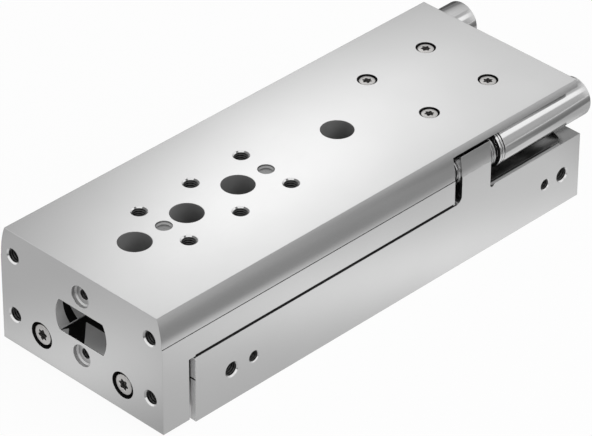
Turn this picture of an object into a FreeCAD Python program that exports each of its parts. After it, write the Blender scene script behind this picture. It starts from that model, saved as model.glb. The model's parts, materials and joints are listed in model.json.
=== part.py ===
# Pneumatic slide table: a flat twin-piston housing, a guide rail on top of it, and a table
# with a front plate that two piston rods push out. Two dampers catch the table at its ends.
# Frame: origin at the centre of the housing's mounting face, +Z up, the front plate faces -Y,
# and the retracting damper is on +X. Millimetres.
import FreeCAD, Part
import math
import os
import Sketcher

doc = FreeCAD.newDocument("slide_table")
sheet = doc.addObject("Spreadsheet::Sheet", "Sizes")


class Dim:
    """A length that knows its value and the expression over the sheet that gives it."""

    def __init__(self, text, value):
        self.text = text
        self.value = value

    def _join(self, other, sign, value):
        right = other.text if isinstance(other, Dim) else repr(other)
        return Dim(f"({self.text} {sign} {right})", value)

    def __add__(self, other):
        return self._join(other, "+", self.value + number(other))

    def __sub__(self, other):
        return self._join(other, "-", self.value - number(other))

    def __mul__(self, other):
        return self._join(other, "*", self.value * number(other))

    def __truediv__(self, other):
        return self._join(other, "/", self.value / number(other))

    def __neg__(self):
        return Dim(f"(-1 * {self.text})", -self.value)


def number(value):
    return value.value if isinstance(value, Dim) else float(value)


def root(dim):
    return Dim(f"sqrt({dim.text})", math.sqrt(dim.value))


def least(one, other):
    return Dim(f"min({one.text}; {other.text})", min(one.value, other.value))


sheet_row = [1]


def size(alias, value, meaning):
    """Writes one driving dimension to the sheet and returns it."""
    row = sheet_row[0]
    sheet_row[0] += 1
    sheet.set(f"A{row}", meaning)
    sheet.set(f"B{row}", str(value))
    sheet.setAlias(f"B{row}", alias)
    return Dim(f"Sizes.{alias}", float(value))


# Driving dimensions: the outer form
width = size("width", 65, "width over the sides")
height = size("height", 40.2, "mounting face to table top")
top_inset = size("top_inset", 1.9, "edge of the table top inside the side")
edge_drop = size("edge_drop", 9.8, "table top to the line where the sides start to curve in")
edge_step = size("edge_step", 0.15, "step in the side at the edge line")
housing_length = size("housing_length", 158, "housing, front to rear")
shoulder_drop = size("shoulder_drop", 18.45, "table top to the top of the housing's sides")
stroke = size("stroke", 80, "travel of the table")

# The channel between housing and table, and the guide in it
channel_width = size("channel_width", 37, "channel that holds the guide")
deck = size("deck", 19, "height of the housing inside the channel")
deck_step = size("deck_step", 0.1, "least step from the housing's sides down to the channel's floor")
rail_seat = size("rail_seat", 16, "height of the rail's seat")
rail_width = size("rail_width", 15, "guide rail, width")
rail_height = size("rail_height", 10, "guide rail, height")
rail_length = size("rail_length", 156, "guide rail, length")
rail_pitch = size("rail_pitch", 40, "guide rail, hole pitch")
rail_end = size("rail_end", 7.5, "guide rail, front end to first hole")
guide_height = size("guide_height", 16, "rail seat to carriage top")
carriage_width = size("carriage_width", 32, "carriage, width")
carriage_lift = size("carriage_lift", 4, "rail seat to carriage underside")
block_length = size("block_length", 43.4, "carriage, length of the steel block")
end_cap_length = size("end_cap_length", 6.2, "carriage, length of an end cap")
end_seal_length = size("end_seal_length", 1.5, "carriage, thickness of an end seal")
carriage_rear = size("carriage_rear", 30.9, "table rear to carriage centre")
carriage_gap = size("carriage_gap", 0.3, "carriage to rail, beside the balls")
end_cap_inset = size("end_cap_inset", 0.2, "end caps inside the block's outline")
end_seal_inset = size("end_seal_inset", 0.4, "end seals inside the block's outline")
end_seal_gap = size("end_seal_gap", 0.1, "end seals to rail")
rail_edge = size("rail_edge", 0.5, "chamfer along the rail's top edges")
ball_radius = size("ball_radius", 1.5, "guide balls")
ball_pitch = size("ball_pitch", 6.2, "between neighbouring balls in their cage")
ball_height = size("ball_height", 6, "rail seat to the balls' centres")
ball_offset = size("ball_offset", 0.15, "balls' centres outside the rail's side")
return_offset = size("return_offset", 4.25, "return holes of the balls outside the loaded rows")
return_rise = size("return_rise", 1, "return holes above the loaded rows")

# The table and its front plate
plate_thickness = size("plate_thickness", 9.95, "front plate")
plate_gap = size("plate_gap", 2.4, "front plate to housing, retracted")
plate_bottom = size("plate_bottom", 2, "height of the front plate's lower edge")
skirt_gap = size("skirt_gap", 0.6, "table skirts above the housing's sides")
setback = size("setback", 0.75, "table rear in front of the housing rear")
wing_thickness = size("wing_thickness", 2.3, "table over the dampers")
window_radius = size("window_radius", 10.3, "front window, round sides")
window_height = size("window_height", 10.55, "front window, flat to flat")
window_centre = size("window_centre", 21.78, "height of the front window")

# The cylinders
bore = size("bore", 12, "piston bores")
bore_inset = size("bore_inset", 16.05, "side to the bores' axes")
bore_height = size("bore_height", 10.55, "height of the bores")
rod = size("rod", 6, "piston rods")
seat_bore = size("seat_bore", 14, "seats of the bushes and caps")
bush_length = size("bush_length", 8.8, "rod bush")
rod_seal_length = size("rod_seal_length", 2, "rod seal")
cap_length = size("cap_length", 4.2, "rear caps")
piston_length = size("piston_length", 20, "pistons")
piston_rear_gap = size("piston_rear_gap", 6, "piston to rear cap, retracted")
spigot = size("spigot", 4, "rod's spigot in the piston")
rod_thread_depth = size("rod_thread_depth", 12, "threaded hole in the rod's front end")
seal_edge = size("seal_edge", 2.4, "piston's end to its seal")
seal_width = size("seal_width", 2.4, "piston seals")
magnet_width = size("magnet_width", 4, "piston magnets")
magnet_gap = size("magnet_gap", 0.2, "magnets below the bore")
groove_depth = size("groove_depth", 1.5, "grooves in the pistons")
ring_wire = size("ring_wire", 1, "thickness of the retaining rings")
ring_depth = size("ring_depth", 1.5, "radial depth of the retaining rings")

# The stops and their dampers
stop_drop = size("stop_drop", 3.3, "table top to the top of the stops on the housing")
stop_thickness = size("stop_thickness", 12.1, "stop that holds a damper")
stop_gap = size("stop_gap", 3, "stop to its face on the table, at the travel's end")
stop_rear = size("stop_rear", 39.15, "housing rear to the rear of the right stop")
stop_side_gap = size("stop_side_gap", 0.5, "stop to the table's middle")
barrel_side_gap = size("barrel_side_gap", 1, "least gap between a barrel and the table's middle")
lug_thickness = size("lug_thickness", 10, "lug that the advancing damper meets")
lug_clearance = size("lug_clearance", 1, "table skirt to the lug, retracted")
left_shift = size("left_shift", 7.3, "left damper behind the right one")
damper_inset = size("damper_inset", 6.37, "side to the damper axes")
damper_drop = size("damper_drop", 9.9, "table top to the damper axes")
damper_thread = size("damper_thread", 11, "damper thread")
barrel = size("barrel", 12.7, "damper barrels")
barrel_length = size("barrel_length", 37.3, "damper barrels, length")
neck = size("neck", 6.3, "thread shown between stop and barrel")
collar_length = size("collar_length", 1.7, "collar in front of a barrel")
collar_gap = size("collar_gap", 0.3, "collar to barrel")
nose = size("nose", 9, "plunger heads")
nose_length = size("nose_length", 5, "plunger heads, length")
plunger_stroke = size("plunger_stroke", 5, "travel of the plungers")
plunger_rod = size("plunger_rod", 3, "plunger rods")
chamber = size("chamber", 8, "damper chambers")
bearing_length = size("bearing_length", 8, "plunger rod's bearing in its barrel")
plug_length = size("plug_length", 4, "damper end plugs")
plug_step = size("plug_step", 1, "shoulder that a damper's end plug seats on")
damper_edge = size("damper_edge", 0.6, "chamfers of the dampers")
head_play = size("head_play", 0.3, "pressed plunger head to the floor of its recess")
disc_gap = size("disc_gap", 0.8, "chamber wall to the plunger's disc")
disc_play = size("disc_play", 0.2, "disc to the end of its chamber, extended")
disc_length = size("disc_length", 1.5, "plunger's disc in the chamber")
trough_radius = size("trough_radius", 9.75, "trough under the right damper, round its axis")
trough_length = size("trough_length", 35.7, "trough, stop to rounded end")
trough_round = size("trough_round", 5, "rounded end of the trough")
relief_radius = size("relief_radius", 0.95, "relief groove behind the right stop")
stop_fillet = size("stop_fillet", 2.3, "fillet at the foot of a stop")

# Holes and screws
hole_pitch = size("hole_pitch", 20, "pitch of the table's holes")
hole_start = size("hole_start", 32, "table front to its first threads")
access_hole = size("access_hole", 10, "access holes in the table")
thread_m5 = size("thread_m5", 4.2, "core of the M5 threads")
thread_m4 = size("thread_m4", 3.3, "core of the M4 threads")
mouth = size("mouth", 0.45, "chamfer at the mouth of an M5 thread")
mouth_m4 = size("mouth_m4", 0.3, "chamfer at the mouth of an M4 thread")
pin_hole = size("pin_hole", 5, "centring holes in the table and the mounting face")
front_pin_hole = size("front_pin_hole", 7, "centring holes in the front plate")
pin_depth = size("pin_depth", 1.6, "depth of the centring holes")
front_thread_inset = size("front_thread_inset", 5, "side to the threads in the front plate")
front_spacing_z = size("front_spacing_z", 20, "threads in the front plate, up")
front_low_row = size("front_low_row", 12, "height of the lower threads in the front plate")
front_thread_depth = size("front_thread_depth", 14, "depth of the front threads")
carriage_pitch = size("carriage_pitch", 25, "carriage screws, both ways")
carriage_head = size("carriage_head", 5.5, "carriage screw heads")
carriage_sink = size("carriage_sink", 6.1, "counterbores of the carriage screws")
carriage_sink_depth = size("carriage_sink_depth", 3.2, "depth of those counterbores")
screw_m3 = size("screw_m3", 3, "M3 screws")
screw_m4 = size("screw_m4", 4, "M4 screws")
plate_head = size("plate_head", 7, "front plate screw heads")
plate_sink = size("plate_sink", 8.4, "counterbores of the front plate screws")
plate_sink_depth = size("plate_sink_depth", 4.6, "depth of those counterbores")
rail_head = size("rail_head", 5.5, "rail screw heads")
rail_sink = size("rail_sink", 6, "counterbores in the rail")
rail_sink_depth = size("rail_sink_depth", 4.5, "depth of those counterbores")
rail_head_height = size("rail_head_height", 3, "height of those heads")
rail_screw_length = size("rail_screw_length", 12, "rail screws below the head")
carriage_screw_reach = size("carriage_screw_reach", 4, "carriage screws in the carriage")
carriage_thread_depth = size("carriage_thread_depth", 4.6, "depth of the carriage's threads")
head_sink = size("head_sink", 0.6, "heads below the face that they are sunk in")
head_edge = size("head_edge", 0.35, "chamfers of the screw heads")
screw_room = size("screw_room", 1, "threaded hole beyond the end of its screw")
front_port = size("front_port", 13.95, "housing front to the front port")
rear_port = size("rear_port", 7.35, "housing rear to the rear port")
front_side_thread = size("front_side_thread", 22.55, "housing front to the side thread")
rear_side_thread = size("rear_side_thread", 14.85, "housing rear to the side thread")
side_thread_depth = size("side_thread_depth", 8, "depth of the side threads")
cross_passage = size("cross_passage", 2.5, "air passage between the bores")
plug_depth = size("plug_depth", 5, "blanking plugs, length")
base_thread_inset = size("base_thread_inset", 5, "side to the threads in the mounting face")
base_spacing_y = size("base_spacing_y", 80, "threads in the mounting face, along")
base_pin_spacing = size("base_pin_spacing", 40, "between the mounting face's centring holes")
base_thread_depth = size("base_thread_depth", 10, "depth of the mounting threads")
sensor_spacing = size("sensor_spacing", 13, "between the sensor slots")
sensor_slot = size("sensor_slot", 4.2, "round part of a sensor slot")
sensor_mouth = size("sensor_mouth", 2.6, "mouth of a sensor slot")
sensor_height = size("sensor_height", 2.9, "centre of a sensor slot")

# How far a pad or a cut runs past the face that it joins
overlap = size("overlap", 1, "pads and cuts past the face that they join")

# Fits
slack = size("slack", 0.05, "radial clearance of rods, pistons and screws")
seat_slack = size("seat_slack", 0.02, "clearance of pieces that sit fast in a seat")

# Places worked out from the sizes
half_width = width / 2
top_half = half_width - top_inset
half_channel = channel_width / 2
housing_front = -housing_length / 2
housing_rear = housing_length / 2
table_front = housing_front - plate_gap - plate_thickness
plate_back = housing_front - plate_gap
table_rear = housing_rear - setback
table_length = table_rear - table_front
roof = rail_seat + guide_height
wing_height = height - wing_thickness
edge_line = height - edge_drop
shoulder = height - shoulder_drop
channel_floor = least(deck, shoulder - deck_step)
stop_height = height - stop_drop
skirt_bottom = shoulder + skirt_gap
stop_back = housing_rear - stop_rear
stop_front = stop_back - stop_thickness
skirt_end = stop_front - stop_gap
left_stop_front = stop_front + left_shift
left_stop_back = stop_back + left_shift
lug_back = left_stop_front - stroke - stop_gap
lug_front = lug_back - lug_thickness
damper_x = half_width - damper_inset
opening_side = least(half_channel - stop_side_gap, damper_x - barrel / 2 - barrel_side_gap)
damper_height = height - damper_drop
bore_x = half_width - bore_inset
rail_front = -rail_length / 2
first_hole = rail_front + rail_end
carriage_y = table_rear - carriage_rear
side_x = half_width - edge_step
edge_run = side_x - top_half
edge_radius = (edge_drop * edge_drop + edge_run * edge_run) / (edge_run * 2)
stop_rise = edge_drop - stop_drop
stop_top_x = side_x - edge_radius + root(edge_radius * edge_radius - stop_rise * stop_rise)
front_seat = ring_wire + bush_length + rod_seal_length
cap_front = housing_rear - ring_wire - cap_length
piston_back = cap_front - piston_rear_gap
piston_front = piston_back - piston_length

# How many rail holes and guide balls there are in a row
RAIL_HOLES = 4
ROW_BALLS = 7


def bind(thing, prop, dim):
    """Sets a property to a plain number, or to an expression over the sheet."""
    if isinstance(dim, Dim):
        thing.setExpression(prop, dim.text)
    else:
        setattr(thing, prop, dim)


def new_body(name):
    body = doc.addObject("PartDesign::Body", name)
    body.Label = name
    return body


def new_sketch(body, plane, offset):
    """A sketch on one of the body's own origin planes, moved along the plane's normal."""
    sketch = body.newObject("Sketcher::SketchObject", body.Name + "_sketch")
    base = [f for f in body.Origin.OriginFeatures if f.Role == plane][0]
    sketch.AttachmentSupport = (base, [""])
    sketch.MapMode = "FlatFace"
    if isinstance(offset, Dim):
        sketch.setExpression("AttachmentOffset.Base.z", offset.text)
    return sketch


def pin_point(sketch, shape, point, x, y):
    """Holds one point of the sketch at x, y."""
    for kind, axis, place in (("DistanceX", -2, x), ("DistanceY", -1, y)):
        if isinstance(place, Dim):
            made = sketch.addConstraint(Sketcher.Constraint(kind, -1, 1, shape, point, place.value))
            sketch.setExpression(f"Constraints[{made}]", place.text)
        elif place == 0:
            sketch.addConstraint(Sketcher.Constraint("PointOnObject", shape, point, axis))
        else:
            sketch.addConstraint(Sketcher.Constraint(kind, -1, 1, shape, point, float(place)))


def hold_radius(sketch, shape, radius):
    made = sketch.addConstraint(Sketcher.Constraint("Radius", shape, number(radius)))
    sketch.setExpression(f"Constraints[{made}]", radius.text)


def circle(sketch, x, y, radius):
    middle = FreeCAD.Vector(number(x), number(y), 0)
    shape = sketch.addGeometry(Part.Circle(middle, FreeCAD.Vector(0, 0, 1), number(radius)))
    pin_point(sketch, shape, 3, x, y)
    hold_radius(sketch, shape, radius)


def arc_between(start, end, radius, left):
    """The arc from start to end whose centre is on the left or the right of the way."""
    step = end - start
    side = FreeCAD.Vector(-step.y, step.x, 0).normalize()
    reach = math.sqrt(max(radius ** 2 - (step.Length / 2) ** 2, 0))
    centre = (start + end) / 2 + side * (reach if left else -reach)
    angles = [math.atan2(p.y - centre.y, p.x - centre.x) for p in (start, end)]
    if not left:
        angles.reverse()
    return Part.ArcOfCircle(Part.Circle(centre, FreeCAD.Vector(0, 0, 1), radius), *angles)


def outline(sketch, points):
    """A closed outline. A point is (x, y), or (x, y, radius, side) where an arc leads to it."""
    spots = [FreeCAD.Vector(number(p[0]), number(p[1]), 0) for p in points]
    ends = []
    for i, point in enumerate(points):
        start, end = spots[i - 1], spots[i]
        if len(point) == 2:
            shape = sketch.addGeometry(Part.LineSegment(start, end))
            ends.append((shape, 1, 2))
        else:
            left = point[3] == "left"
            arc = arc_between(start, end, number(point[2]), left)
            shape = sketch.addGeometry(arc)
            ends.append((shape, 1, 2) if left else (shape, 2, 1))
    for i, point in enumerate(points):
        shape, _, last = ends[i]
        following, first, _ = ends[(i + 1) % len(points)]
        sketch.addConstraint(Sketcher.Constraint("Coincident", shape, last, following, first))
        pin_point(sketch, shape, last, point[0], point[1])
        if len(point) > 2:
            hold_radius(sketch, shape, point[2])


def rectangle(sketch, x0, y0, x1, y1):
    outline(sketch, [(x0, y0), (x1, y0), (x1, y1), (x0, y1)])


def extrude(body, plane, start, length, draw, cut, reverse):
    """A pad or a pocket from a sketch; stops if it changed the body the wrong way."""
    before = body.Shape.Volume if body.Tip else 0
    sketch = new_sketch(body, plane, start)
    draw(sketch)
    kind = "Pocket" if cut else "Pad"
    feature = body.newObject("PartDesign::" + kind, f"{body.Name}_{kind}")
    feature.Profile = sketch
    feature.Reversed = reverse
    bind(feature, "Length", length)
    doc.recompute()
    change = feature.Shape.Volume - before
    if (change >= 0) if cut else (change <= 0):
        raise ValueError(f"{feature.Name} changed the volume by {change}")
    return feature


def along_y(body, start, length, draw, cut=False):
    """Extrudes an x-z sketch from start towards +Y."""
    return extrude(body, "XZ_Plane", -start, length, draw, cut, not cut)


def sunk_from_top(body, top, depth, draw):
    """Cuts an x-y sketch downwards from top."""
    return extrude(body, "XY_Plane", top, depth, draw, True, False)


def sunk_from_base(body, depth, draw):
    """Cuts an x-y sketch upwards from the mounting face."""
    return extrude(body, "XY_Plane", None, depth, draw, True, True)


def sunk_from_side(body, side, depth, draw):
    """Cuts a y-z sketch inwards from the right (+1) or left (-1) side."""
    return extrude(body, "YZ_Plane", half_width * side, depth, draw, True, side < 0)


def turn(body, draw):
    """Turns an x-y sketch about the body's Y axis."""
    sketch = new_sketch(body, "XY_Plane", None)
    draw(sketch)
    feature = body.newObject("PartDesign::Revolution", body.Name + "_Revolution")
    feature.Profile = sketch
    feature.ReferenceAxis = (sketch, ["V_Axis"])
    feature.Angle = 360
    doc.recompute()


def hollow_about(body, x, z, draw):
    """Cuts what an x-y sketch sweeps about the line along Y through x, z."""
    before = body.Shape.Volume
    sketch = new_sketch(body, "XY_Plane", z)
    ends = [FreeCAD.Vector(x.value, y, 0) for y in (0, 1)]
    line = sketch.addGeometry(Part.LineSegment(*ends), True)
    pin_point(sketch, line, 1, x, 0)
    pin_point(sketch, line, 2, x, 1)
    draw(sketch)
    feature = body.newObject("PartDesign::Groove", body.Name + "_Groove")
    feature.Profile = sketch
    feature.ReferenceAxis = (sketch, ["Axis0"])
    feature.Angle = 360
    doc.recompute()
    if feature.Shape.Volume >= before:
        raise ValueError(f"{feature.Name} cut nothing")


def place(thing, x, y, z, axis=None, angle=0):
    """Turns a thing about an axis through its own origin, then binds where that origin goes."""
    if axis:
        thing.Placement = FreeCAD.Placement(FreeCAD.Vector(), FreeCAD.Rotation(axis, angle))
    for letter, value in (("x", x), ("y", y), ("z", z)):
        if isinstance(value, Dim):
            thing.setExpression("Placement.Base." + letter, value.text)


def turned(name, points, x=0, y=0, z=0, axis=None, angle=0):
    """A turned piece: points are (radius, distance along its axis)."""
    body = new_body(name)
    turn(body, lambda sketch: outline(sketch, points))
    place(body, x, y, z, axis, angle)
    return body


def group(name, members):
    """Identical pieces that share one node."""
    made = doc.addObject("Part::Compound", name)
    made.Label = name
    made.Links = members
    return made


def mouths(body, radius, depth_of_chamfer, on_face):
    """Chamfers the round edges of one radius that lie on a face of the body."""
    base = body.Tip
    names = []
    for i, edge in enumerate(base.Shape.Edges):
        round_edge = isinstance(edge.Curve, Part.Circle)
        if round_edge and abs(edge.Curve.Radius - radius.value) < 1e-4 and on_face(edge.Curve.Center):
            names.append(f"Edge{i + 1}")
    chamfer = body.newObject("PartDesign::Chamfer", body.Name + "_chamfer")
    chamfer.Base = (base, names)
    bind(chamfer, "Size", depth_of_chamfer)
    doc.recompute()
    return chamfer


def close(a, b):
    return abs(number(a) - number(b)) < 1e-4


def stop_profile(sketch, side):
    """Section of a stop: the housing's side carried up to just under the table's wing."""
    foot = shoulder - overlap
    arc_side = "left" if side > 0 else "right"
    outline(sketch, [
        (half_channel * side, foot), (half_width * side, foot), (half_width * side, edge_line),
        (side_x * side, edge_line), (stop_top_x * side, stop_height, edge_radius, arc_side),
        (half_channel * side, stop_height)])


def both_sides(x, height_or_y, radius):
    """Two circles, one each side of the middle."""
    def draw(sketch):
        for side in (1, -1):
            circle(sketch, x * side, height_or_y, radius)
    return draw


def circles(spots, radius):
    def draw(sketch):
        for x, y in spots:
            circle(sketch, x, y, radius)
    return draw


def fillet_stop_feet(body):
    """Rounds the feet of the stops, apart from the one with the relief groove."""
    base = body.Tip
    names = []
    for i, edge in enumerate(base.Shape.Edges):
        box = edge.BoundBox
        across = box.YLength < 1e-4 and box.ZLength < 1e-4 and close(box.ZMin, shoulder)
        if across and any(close(box.YMin, y) for y in (stop_front, lug_front, lug_back)):
            names.append(f"Edge{i + 1}")
    fillet = body.newObject("PartDesign::Fillet", body.Name + "_fillet")
    fillet.Base = (base, names)
    bind(fillet, "Radius", stop_fillet)
    doc.recompute()


def make_housing():
    body = new_body("housing")
    seat = rail_width / 2 + seat_slack

    def section(sketch):
        right = [(half_width, 0), (half_width, shoulder), (half_channel, shoulder),
                 (half_channel, channel_floor), (seat, channel_floor), (seat, rail_seat)]
        outline(sketch, right + [(-x, z) for x, z in reversed(right)])

    along_y(body, housing_front, housing_length, section)
    along_y(body, stop_front, stop_thickness, lambda sketch: stop_profile(sketch, 1))
    along_y(body, lug_front, lug_thickness, lambda sketch: stop_profile(sketch, -1))
    fillet_stop_feet(body)

    bores = both_sides(bore_x, bore_height, bore / 2)
    seats = both_sides(bore_x, bore_height, seat_bore / 2)
    along_y(body, housing_front, housing_length, bores, cut=True)
    along_y(body, housing_front, front_seat, seats, cut=True)
    along_y(body, cap_front, housing_rear - cap_front, seats, cut=True)

    def damper_hole(sketch):
        circle(sketch, damper_x, damper_height, damper_thread / 2)

    along_y(body, stop_front, stop_thickness, damper_hole, cut=True)

    def trough(sketch):
        rim = damper_x + trough_radius
        end = stop_back + trough_length
        outline(sketch, [(damper_x, stop_back), (rim, stop_back), (rim, end - trough_round),
                         (rim - trough_round, end, trough_round, "left"), (damper_x, end)])

    hollow_about(body, damper_x, damper_height, trough)

    def relief(sketch):
        circle(sketch, stop_back + relief_radius, shoulder + relief_radius / 4, relief_radius)

    sunk_from_side(body, 1, half_width - half_channel, relief)

    ports = [(housing_front + front_port, bore_height), (housing_rear - rear_port, bore_height)]
    threads = [(housing_front + front_side_thread, bore_height),
               (housing_rear - rear_side_thread, bore_height)]
    for side in (1, -1):
        sunk_from_side(body, side, half_width - bore_x, circles(ports, thread_m5 / 2))
    sunk_from_side(body, 1, side_thread_depth, circles(threads, thread_m4 / 2))
    sunk_from_side(body, 1, half_width + bore_x, circles(ports, cross_passage / 2))

    rail_holes = [(0, y) for y in rail_hole_places()]
    thread_depth = rail_screw_length - rail_height + rail_sink_depth + screw_room
    sunk_from_top(body, rail_seat, thread_depth, circles(rail_holes, screw_m3 / 2 + slack))

    base_x = half_width - base_thread_inset
    base_threads = [(base_x * i, base_spacing_y / 2 * j) for i in (1, -1) for j in (1, -1)]
    base_pins = [(0, base_pin_spacing / 2 * j) for j in (1, -1)]
    sunk_from_base(body, base_thread_depth, circles(base_threads, thread_m5 / 2))
    sunk_from_base(body, pin_depth, circles(base_pins, pin_hole / 2))

    def sensor_mouths(sketch):
        for side in (1, -1):
            middle = sensor_spacing / 2 * side
            rectangle(sketch, middle - sensor_mouth / 2, -overlap, middle + sensor_mouth / 2, sensor_height)

    slots = both_sides(sensor_spacing / 2, sensor_height, sensor_slot / 2)
    along_y(body, housing_front, housing_length, slots, cut=True)
    along_y(body, housing_front, housing_length, sensor_mouths, cut=True)

    def on_outside(centre):
        return close(abs(centre.x), half_width) or close(centre.z, 0)

    mouths(body, thread_m5 / 2, mouth, on_outside)
    mouths(body, thread_m4 / 2, mouth_m4, on_outside)
    return body


def table_cut(body, side, start, length):
    """Opens the table's side below its wing."""
    def draw(sketch):
        rectangle(sketch, opening_side * side, skirt_bottom - overlap,
                  (half_width + overlap) * side, wing_height)
    along_y(body, start, length, draw, cut=True)


def make_table():
    body = new_body("slide_table")

    def section(sketch):
        outline(sketch, [
            (half_width, skirt_bottom), (half_width, edge_line), (side_x, edge_line),
            (top_half, height, edge_radius, "left"), (-top_half, height),
            (-side_x, edge_line, edge_radius, "left"), (-half_width, edge_line),
            (-half_width, skirt_bottom), (-half_channel, skirt_bottom), (-half_channel, roof),
            (half_channel, roof), (half_channel, skirt_bottom)])

    def front_plate(sketch):
        inner = half_channel + overlap
        right = [(half_width, plate_bottom), (half_width, edge_line), (inner, edge_line),
                 (inner, roof + overlap)]
        outline(sketch, right + [(-x, z) for x, z in reversed(right)])

    along_y(body, table_front, table_length, section)
    along_y(body, table_front, plate_thickness, front_plate)
    lug_window = lug_front - lug_clearance
    table_cut(body, 1, skirt_end, table_rear - skirt_end + overlap)
    table_cut(body, -1, lug_window, left_stop_front - lug_window)
    table_cut(body, -1, left_stop_back, table_rear - left_stop_back + overlap)

    def damper_hole(sketch):
        circle(sketch, -damper_x, damper_height, damper_thread / 2)

    along_y(body, left_stop_front, stop_thickness, damper_hole, cut=True)

    plate = height - roof
    rows = [table_front + hole_start + hole_pitch * k for k in range(3)]
    access = [(0, first_hole + rail_pitch / 2 * k) for k in (0, 1, 2, 4)]
    threads = [(hole_pitch / 2 * side, y) for side in (1, -1) for y in rows]
    sunk_from_top(body, height, plate, circles(access, access_hole / 2))
    sunk_from_top(body, height, plate, circles(threads, thread_m5 / 2))
    sunk_from_top(body, height, pin_depth, circles([(0, rows[0]), (0, rows[2])], pin_hole / 2))
    sunk_from_top(body, height, carriage_sink_depth, circles(carriage_screw_places(), carriage_sink / 2))
    sunk_from_top(body, height, plate, circles(carriage_screw_places(), screw_m3 / 2 + slack))

    low, high = front_low_row, front_low_row + front_spacing_z
    corners = [((half_width - front_thread_inset) * side, z) for side in (1, -1) for z in (low, high)]
    middle = [(0, low), (0, high)]
    along_y(body, table_front, front_thread_depth, circles(corners, thread_m5 / 2), cut=True)
    along_y(body, table_front, pin_depth, circles(middle, front_pin_hole / 2), cut=True)
    along_y(body, table_front, plate_thickness, circles(middle, thread_m4 / 2), cut=True)
    along_y(body, table_front, plate_thickness, window_outline, cut=True)
    sinks = both_sides(bore_x, bore_height, plate_sink / 2)
    screw_holes = both_sides(bore_x, bore_height, screw_m4 / 2 + slack)
    along_y(body, table_front, plate_sink_depth, sinks, cut=True)
    along_y(body, table_front, plate_thickness, screw_holes, cut=True)

    mouths(body, thread_m5 / 2, mouth, lambda c: close(c.z, height) or close(c.y, table_front))
    return body


def window_outline(sketch):
    """The front window: a circle about x = 0 with its top and bottom cut off flat."""
    rise = window_height / 2
    half = root(window_radius * window_radius - rise * rise)
    low, high = window_centre - rise, window_centre + rise
    outline(sketch, [(half, low), (half, high, window_radius, "left"),
                     (-half, high), (-half, low, window_radius, "left")])


def rail_hole_places():
    return [first_hole + rail_pitch * k for k in range(RAIL_HOLES)]


def carriage_screw_places():
    half = carriage_pitch / 2
    return [(half * i, carriage_y + half * j) for i in (1, -1) for j in (1, -1)]


def ball_row_x():
    return rail_width / 2 + ball_offset


def make_rail():
    body = new_body("guide_rail")
    top = rail_seat + rail_height
    edge = rail_width / 2 - rail_edge

    def section(sketch):
        right = [(rail_width / 2, rail_seat), (rail_width / 2, top - rail_edge), (edge, top)]
        outline(sketch, right + [(-x, z) for x, z in reversed(right)])

    along_y(body, rail_front, rail_length, section)
    grooves = both_sides(ball_row_x(), rail_seat + ball_height, ball_radius + slack)
    along_y(body, rail_front, rail_length, grooves, cut=True)
    holes = [(0, y) for y in rail_hole_places()]
    sunk_from_top(body, top, rail_sink_depth, circles(holes, rail_sink / 2))
    sunk_from_top(body, top, rail_height, circles(holes, screw_m3 / 2 + slack))
    return body


def carriage_piece(name, start, length, inset, gap):
    """A slice of the carriage: a block over the rail, drawn in by inset and clear of the rail by gap."""
    body = new_body(name)

    def section(sketch):
        outer = carriage_width / 2 - inset
        inner = rail_width / 2 + gap
        low = rail_seat + carriage_lift + inset
        high = rail_seat + rail_height + gap
        right = [(inner, low), (outer, low), (outer, roof - inset)]
        left = [(-x, z) for x, z in reversed(right)]
        outline(sketch, right + left + [(-inner, high), (inner, high)])

    along_y(body, start, length, section)
    return body


def make_carriage():
    front = carriage_y - block_length / 2
    back = carriage_y + block_length / 2
    block = carriage_piece("carriage_block", front, block_length, 0, carriage_gap)
    level = rail_seat + ball_height
    along_y(block, front, block_length, both_sides(ball_row_x(), level, ball_radius + slack), cut=True)
    returns = both_sides(ball_row_x() + return_offset, level + return_rise, ball_radius + slack)
    along_y(block, front, block_length, returns, cut=True)
    screw_holes = circles(carriage_screw_places(), screw_m3 / 2 + slack)
    sunk_from_top(block, roof, carriage_thread_depth, screw_holes)

    caps = []
    seals = []
    cap_starts = (front - end_cap_length, back)
    seal_starts = (front - end_cap_length - end_seal_length, back + end_cap_length)
    for where, cap_start, seal_start in zip(("front", "rear"), cap_starts, seal_starts):
        caps.append(carriage_piece("end_cap_" + where, cap_start, end_cap_length,
                                   end_cap_inset, carriage_gap))
        seals.append(carriage_piece("end_seal_" + where, seal_start, end_seal_length,
                                    end_seal_inset, end_seal_gap))

    balls = []
    for side in (1, -1):
        for k in range(ROW_BALLS):
            ball = doc.addObject("Part::Sphere", "guide_ball")
            bind(ball, "Radius", ball_radius)
            place(ball, ball_row_x() * side, carriage_y + ball_pitch * (k - (ROW_BALLS - 1) / 2), level)
            balls.append(ball)
    return [block, group("carriage_end_caps", caps), group("carriage_end_seals", seals),
            group("guide_balls", balls)]


def screw_profile(thread, head, head_height, length):
    """Half section of a screw: its head's seat is at 0, and the head is on the + side."""
    return [(0, -length), (thread / 2, -length), (thread / 2, 0), (head / 2, 0),
            (head / 2, head_height - head_edge), (head / 2 - head_edge, head_height), (0, head_height)]


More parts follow.
